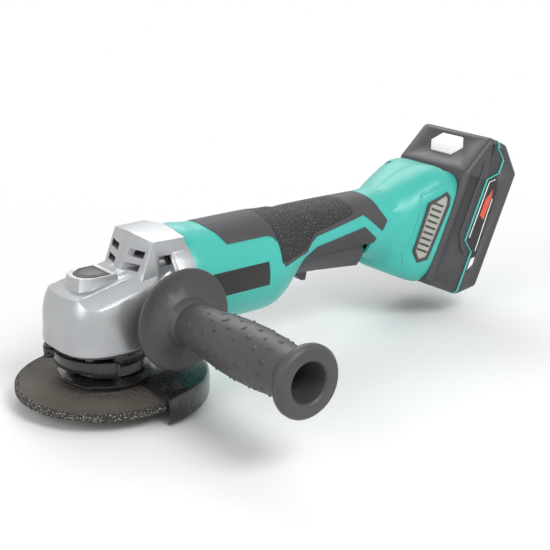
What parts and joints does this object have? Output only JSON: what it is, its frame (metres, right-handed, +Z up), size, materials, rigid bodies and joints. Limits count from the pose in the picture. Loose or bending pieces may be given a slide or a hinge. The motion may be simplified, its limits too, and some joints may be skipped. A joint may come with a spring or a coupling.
{
  "type": "angle grinder",
  "caption": "Cordless angle grinder with a bevel-gear head, half guard with a clamp lever, side handle, paddle switch and slide-on battery pack.",
  "frame": {"origin": "on the spindle axis at the wheel seat, the lower face of the inner flange", "axes": "+X back along the motor axis to the battery, +Y away from the side handle, +Z up the spindle"},
  "size_m": [0.4168, 0.2473, 0.1397],
  "materials": {
    "wheel_abrasive": "coarse resin-bonded grit",
    "steel": "turned",
    "zinc_screw": "dark zinc",
    "cast_alloy": "bead-blasted casting",
    "black_steel": "semi-gloss black",
    "teal_plastic": "fine moulded texture",
    "soft_grip": "textured overmould",
    "dark_plastic": "moulded",
    "handle_plastic": "moulded",
    "black_plate": "plain plate",
    "white_plastic": "smooth",
    "grey_panel": "slotted",
    "iron_core": "laminated",
    "copper": "enamelled wire",
    "circuit_board": "lacquered",
    "cell_wrap": "sleeved cells",
    "nickel": "strip",
    "spring_steel": "wire",
    "bronze": "sintered"
  },
  "bodies": {
    "tool_body": {"air_baffle": "dark_plastic", "battery_mount": "dark_plastic", "bearing_box": "cast_alloy", "bearing_box_screws": "zinc_screw", "controller_tray": "dark_plastic", "gear_case": "cast_alloy", "gear_case_screws": "zinc_screw", "handle_core": "handle_plastic", "handle_sleeve": "handle_plastic", "handle_stud": "steel", "housing_left": "teal_plastic", "housing_right": "teal_plastic", "housing_screws": "zinc_screw", "label_plates": "black_plate", "lock_spring": "spring_steel", "motor_bearings": "steel", "paddle_spring": "spring_steel", "rear_pad": "soft_grip", "sensor_board": "circuit_board", "spindle_bearing": "steel", "spindle_bush": "bronze", "stator_core": "iron_core", "stator_windings": "copper", "switch_module": "dark_plastic", "terminal_blades": "copper", "terminal_block": "dark_plastic", "top_pad": "soft_grip", "under_pad": "soft_grip", "vent_frames": "dark_plastic", "vent_panels": "grey_panel"},
    "spindle": {"spindle": "steel", "spindle_spacer": "steel", "crown_gear": "steel", "inner_flange": "steel", "grinding_wheel": "wheel_abrasive", "clamp_nut": "black_steel"},
    "rotor": {"rotor_shaft": "steel", "rotor_core": "iron_core", "rotor_magnets": "iron_core", "cooling_fan": "dark_plastic", "pinion": "steel"},
    "paddle": {"paddle": "dark_plastic"},
    "lockoff": {"lockoff_lever": "dark_plastic"},
    "lock_button": {"lock_button": "dark_plastic"},
    "guard": {"wheel_guard": "black_steel", "guard_band": "black_steel", "clamp_pin": "zinc_screw"},
    "clamp_lever": {"clamp_lever": "black_steel"},
    "battery": {"battery_front_shell": "dark_plastic", "battery_rear_shell": "dark_plastic", "battery_trim": "teal_plastic", "battery_labels": "black_plate", "battery_pads": "teal_plastic", "cells": "cell_wrap", "cell_holders": "dark_plastic", "cell_strips": "nickel", "battery_board": "circuit_board", "battery_clips": "copper", "release_spring": "spring_steel"},
    "release_button": {"release_button": "white_plastic"}
  },
  "joints": [
    {"name": "spindle_spin", "type": "hinge", "parent": "tool_body", "child": "spindle", "pos_m": [0, 0, 0], "axis": [0, 0, 1], "continuous": true},
    {"name": "rotor_spin", "type": "hinge", "parent": "tool_body", "child": "rotor", "pos_m": [0.08, 0, 0.056], "axis": [1, 0, 0], "continuous": true},
    {"name": "paddle_press", "type": "hinge", "parent": "tool_body", "child": "paddle", "pos_m": [0.147, 0, 0.053], "axis": [0, -1, 0], "range_deg": [0, 6], "stiffness_Nm_per_rad": 4, "springref_deg": -3.44, "deforming": ["paddle_spring"]},
    {"name": "lockoff_swing", "type": "hinge", "parent": "paddle", "child": "lockoff", "pos_m": [0.16, 0, 0.047], "axis": [0, 1, 0], "range_deg": [0, 22], "stiffness_Nm_per_rad": 0.08, "springref_deg": -5.73},
    {"name": "lock_press", "type": "slide", "parent": "tool_body", "child": "lock_button", "axis": [0, 0, -1], "range_m": [0, 0.004], "stiffness_N_per_m": 1500, "springref_m": -0.002, "deforming": ["lock_spring"]},
    {"name": "guard_turn", "type": "hinge", "parent": "tool_body", "child": "guard", "pos_m": [0, 0, 0.01], "axis": [0, 0, 1], "range_deg": [-90, 90]},
    {"name": "clamp_open", "type": "hinge", "parent": "guard", "child": "clamp_lever", "pos_m": [-0.0315, 0.02125, 0.0176], "axis": [0, 0, -1], "range_deg": [0, 100]},
    {"name": "battery_slide", "type": "slide", "parent": "tool_body", "child": "battery", "axis": [0.4226, 0, 0.9063], "range_m": [0, 0.1]},
    {"name": "release_press", "type": "slide", "parent": "battery", "child": "release_button", "axis": [0.6552, 0, -0.7554], "range_m": [0, 0.0028], "stiffness_N_per_m": 1200, "springref_m": -0.002, "deforming": ["release_spring"]}
  ],
  "couplings": [
    {"joint": "rotor_spin", "follows": "spindle_spin", "ratio": 3.5455}
  ]
}
